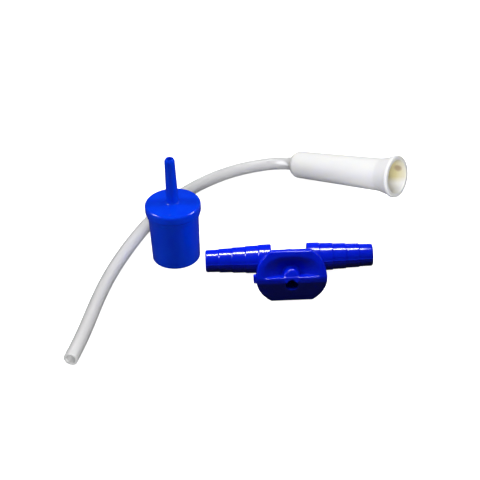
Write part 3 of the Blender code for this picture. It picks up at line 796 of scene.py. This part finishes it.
def bowl_reach(across, up, foot_up):
    """How far the bowl runs from the middle of its foot in one direction."""
    # A squarish half oval: as wide as the pad less its rim, as tall as its flat allows.
    wide = PAD_W / 2 * sqrt(1 - (foot_up / (PAD_W / 2 * PAD_OVAL)) ** 2) - BOWL_RIM
    tall = PAD_HALF_H - BOWL_RIM - foot_up
    shares = abs(across / wide) ** BOWL_SQUARE + abs(up / tall) ** BOWL_SQUARE
    return shares ** (-1 / BOWL_SQUARE)


def bowl_cutter():
    """The half bowl above the ridge: deepest at the ridge, shallow at the rim."""
    turns, rings = 96, 24
    fall = RIDGE_RISE / (PAD_HALF_H - RIDGE_HIGH)
    foot_up = RIDGE_HIGH + RIDGE_LIP
    bm = bmesh.new()
    rows = []
    for ring in range(1, rings + 1):
        share = ring / rings
        row = []
        for turn in range(turns + 1):
            angle = pi * turn / turns
            reach = bowl_reach(cos(angle), sin(angle), foot_up) * share
            x, rise = reach * cos(angle), reach * sin(angle)
            front = RIDGE_FRONT - fall * (rise + RIDGE_LIP)
            # The last ring stands just proud, so the bowl breaks the face cleanly.
            shape = (1 - share ** BOWL_FLOOR) ** BOWL_FLARE
            depth = (BOWL_DEPTH + RIDGE_LIP) * shape - RIDGE_LIP
            row.append(bm.verts.new((x, -(front - depth), foot_up + rise)))
        rows.append(row)
    lid = [bm.verts.new((v.co.x, -(RIDGE_FRONT + CUT_PAST), v.co.z)) for v in rows[-1]]
    foot = bm.verts.new((0, -(RIDGE_FRONT - BOWL_DEPTH), foot_up))
    rows.append(lid)
    for a, b in zip(rows[0], rows[0][1:]):
        bm.faces.new((foot, a, b))
    for inner, outer in zip(rows, rows[1:]):
        for k in range(turns):
            bm.faces.new((inner[k], outer[k], outer[k + 1], inner[k + 1]))
    bm.faces.new(lid)
    bm.faces.new([row[0] for row in rows] + [row[-1] for row in reversed(rows)] + [foot])
    bmesh.ops.triangulate(bm, faces=[f for f in bm.faces if len(f.verts) > 4])
    mesh = bpy.data.meshes.new("bowl")
    bm.to_mesh(mesh)
    bm.free()
    return finish_piece("bowl", mesh)


def settle(piece):
    """Turns a piece's modifiers into plain mesh."""
    depsgraph = bpy.context.evaluated_depsgraph_get()
    mesh = bpy.data.meshes.new_from_object(piece.evaluated_get(depsgraph))
    piece.modifiers.clear()
    piece.data = mesh


def combine(body, operation, tool):
    """Joins, cuts or intersects a solid with another, and uses the other up."""
    step = body.modifiers.new(tool.name, "BOOLEAN")
    step.operation = operation
    step.solver = "EXACT"
    step.object = tool
    settle(body)
    bpy.data.objects.remove(tool, do_unlink=True)
    return body


def melt(body):
    """Gives joined forms one skin with the small radii that a mould leaves."""
    skin = body.modifiers.new("skin", "REMESH")
    skin.mode = "VOXEL"
    skin.voxel_size = SKIN
    relax = body.modifiers.new("relax", "SMOOTH")
    relax.factor = 0.5
    relax.iterations = SKIN_PASSES
    settle(body)


def thumb_pad():
    """Oval disc with two flats, roofed to a ridge, hollowed above it."""
    pad = prism("pad", rounded([
        (PAD_BACK, PAD_HALF_H, SOFT_EDGE),
        (PAD_BACK, -PAD_HALF_H, SOFT_EDGE),
        (RIM_FRONT, -PAD_HALF_H, EDGE),
        (RIDGE_FRONT, RIDGE_LOW, LIP_EDGE),
        (RIDGE_FRONT, RIDGE_HIGH, FINE_EDGE),
        (RIM_FRONT, PAD_HALF_H, THIN_EDGE),
    ], closed=True), -PAD_W, PAD_W)
    disc = solid("pad_disc", rounded([
        (0, 0, 0),
        (PAD_W / 2 - PAD_CHAMFER - CUT_PAST, 0, 0),
        (PAD_W / 2, PAD_CHAMFER + CUT_PAST, PAD_CHAMFER),
        (PAD_W / 2, PAD_EDGE_T + RIDGE_RISE + 2 * CUT_PAST, 0),
        (0, PAD_EDGE_T + RIDGE_RISE + 2 * CUT_PAST, 0),
    ]), (0, CUT_PAST - PAD_BACK, 0), (0, -RIDGE_FRONT - CUT_PAST, 0), sides=192)
    disc.data.transform(Matrix.Diagonal((1, 1, PAD_OVAL, 1)))
    combine(pad, "INTERSECT", disc)
    return combine(pad, "DIFFERENCE", bowl_cutter())


def vent_nib():
    """Raised lip over the vent: a short cone whose top face looks upwards."""
    foot = RIDGE_FRONT - BOWL_DEPTH - SUNK
    tall = RIDGE_FRONT - NIB_SHORT - foot
    nib = solid("nib", rounded([
        (0, 0, 0), (NIB_FOOT_D / 2, 0, 0), (NIB_TOP_D / 2, tall, LIP_EDGE), (0, tall, 0),
    ]), (0, -foot, 0), (0, -foot - tall, 0))
    for v in nib.data.vertices:
        if -v.co.y > foot + tall / 2:
            v.co.y += NIB_SLOPE * max(v.co.z, -NIB_TOP_D / 4)
        v.co.z += RIDGE_HIGH
    return nib


def barb_outline():
    """Outside of the pipe from tip to tip: two stepped barbs and the core between."""
    collar, tip = BARB_COLLAR_D / 2, BARB_TIP_D / 2
    taper = (collar - tip - (BARB_STEPS - 1) * BARB_STEP_H) / BARB_STEPS
    core = MID_PIPE_D / 2 - SUNK
    start = MID_PIPE_L / 2
    half = [(core, start, 0)]
    radius = collar
    for i in range(BARB_STEPS):
        near, far = start + i * BARB_STEP_L, start + (i + 1) * BARB_STEP_L
        half.append((radius, near, EDGE if i == 0 else BARB_STEP_H / 3))
        radius -= taper
        if i < BARB_STEPS - 1:
            half.append((radius, far - BARB_STEP_CHAMFER, BARB_STEP_H / 3))
        else:
            half.append((radius, far, SOFT_EDGE))
        radius -= BARB_STEP_H
    end = start + BARB_STEPS * BARB_STEP_L
    right = half + [(0, end, 0)]
    left = [(r, -x, fillet) for r, x, fillet in reversed(right)]
    return [(r, x + end) for r, x in rounded(left + right, steps=4)]


control_blue = moulded_blue("control_blue_polypropylene", "#001ACE", "#0023E0", 0.7, 0.12)
pipe_half = MID_PIPE_L / 2 + BARB_STEPS * BARB_STEP_L
inside_floor = PAD_BACK + (PAD_EDGE_T + RIDGE_RISE - BOWL_DEPTH) / 2

branch = solid("branch", rounded([
    (0, 0, 0),
    (BRANCH_D / 2, 0, 0),
    (BRANCH_D / 2, PAD_BACK - BRANCH_FLARE_L, BRANCH_FLARE_L),
    (BRANCH_FLARE_D / 2, PAD_BACK, 0),
    (BRANCH_FLARE_D / 2, inside_floor, 0),
    (0, inside_floor, 0),
]), (0, 0, 0), (0, -inside_floor, 0))
middle = solid("middle_pipe", [
    (0, 0),
    (MID_PIPE_D / 2, 0),
    (MID_PIPE_D / 2, MID_PIPE_L + 2 * SUNK),
    (0, MID_PIPE_L + 2 * SUNK),
], (-MID_PIPE_L / 2 - SUNK, 0, 0), (MID_PIPE_L / 2 + SUNK, 0, 0))
tab = prism("tab", rounded([
    (PAD_BACK + SUNK, -TAB_DROP + TAB_H / 2, EDGE),
    (PAD_BACK + SUNK, -TAB_DROP - TAB_H / 2, EDGE),
    (PAD_BACK + SUNK + TAB_T, -TAB_DROP - TAB_H / 2, EDGE),
    (PAD_BACK + SUNK + TAB_T, -TAB_DROP + TAB_H / 2, EDGE),
], closed=True), -PAD_W / 2 - TAB_OUT, -PAD_W / 4)
vent_end = RIDGE_FRONT + 2 * CUT_PAST
vent = solid("vent", [
    (0, 0),
    (VENT_THROAT_D / 2, 0),
    (VENT_THROAT_D / 2, PAD_BACK - VENT_CONE_L),
    (VENT_D / 2, PAD_BACK),
    (VENT_D / 2, vent_end),
    (0, vent_end),
], (0, 0, 0), (0, -vent_end, 0), sides=64)
# The vent starts on the pipe's axis and comes out just under the ridge.
vent.data.transform(Matrix.Rotation(atan2(VENT_DROP, RIDGE_FRONT), 4, "X"))

control = thumb_pad()
for form in (branch, middle, vent_nib(), tab):
    combine(control, "UNION", form)
combine(control, "DIFFERENCE", vent)
melt(control)
pipe = walled("pipe", barb_outline(), [Vector((-pipe_half, 0, 0)), Vector((pipe_half, 0, 0))],
              control_blue, sides=240, parting=PARTING_H)
combine(control, "UNION", pipe)
bore_flare = PIPE_BORE_CHAMFER + CUT_PAST
bore = solid("pipe_bore", [
    (0, 0),
    (PIPE_BORE_D / 2 + bore_flare, 0),
    (PIPE_BORE_D / 2, bore_flare),
    (PIPE_BORE_D / 2, 2 * (pipe_half + CUT_PAST) - bore_flare),
    (PIPE_BORE_D / 2 + bore_flare, 2 * (pipe_half + CUT_PAST)),
    (0, 2 * (pipe_half + CUT_PAST)),
], (-pipe_half - CUT_PAST, 0, 0), (pipe_half + CUT_PAST, 0, 0))
combine(control, "DIFFERENCE", bore)

# It rests on its two collars and on the lower back edge of the pad.
axis_height = BARB_COLLAR_D / 2
lean = acos(axis_height / hypot(PAD_HALF_H, PAD_BACK)) - atan2(PAD_BACK, PAD_HALF_H)
stand = (Matrix.Translation(LAYOUT + Vector((*CONTROL_AT, axis_height)))
         @ Matrix.Rotation(CONTROL_TURN, 4, "Z") @ Matrix.Rotation(-lean, 4, "X"))
control_mesh = control.data
control_mesh.transform(stand)
bpy.data.objects.remove(control, do_unlink=True)
control = finish_piece("thumb_control", control_mesh)
control_mesh.materials.clear()
control_mesh.materials.append(control_blue)
back_lit.objects.link(control)
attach(control, "root")
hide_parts("fingertip_control")
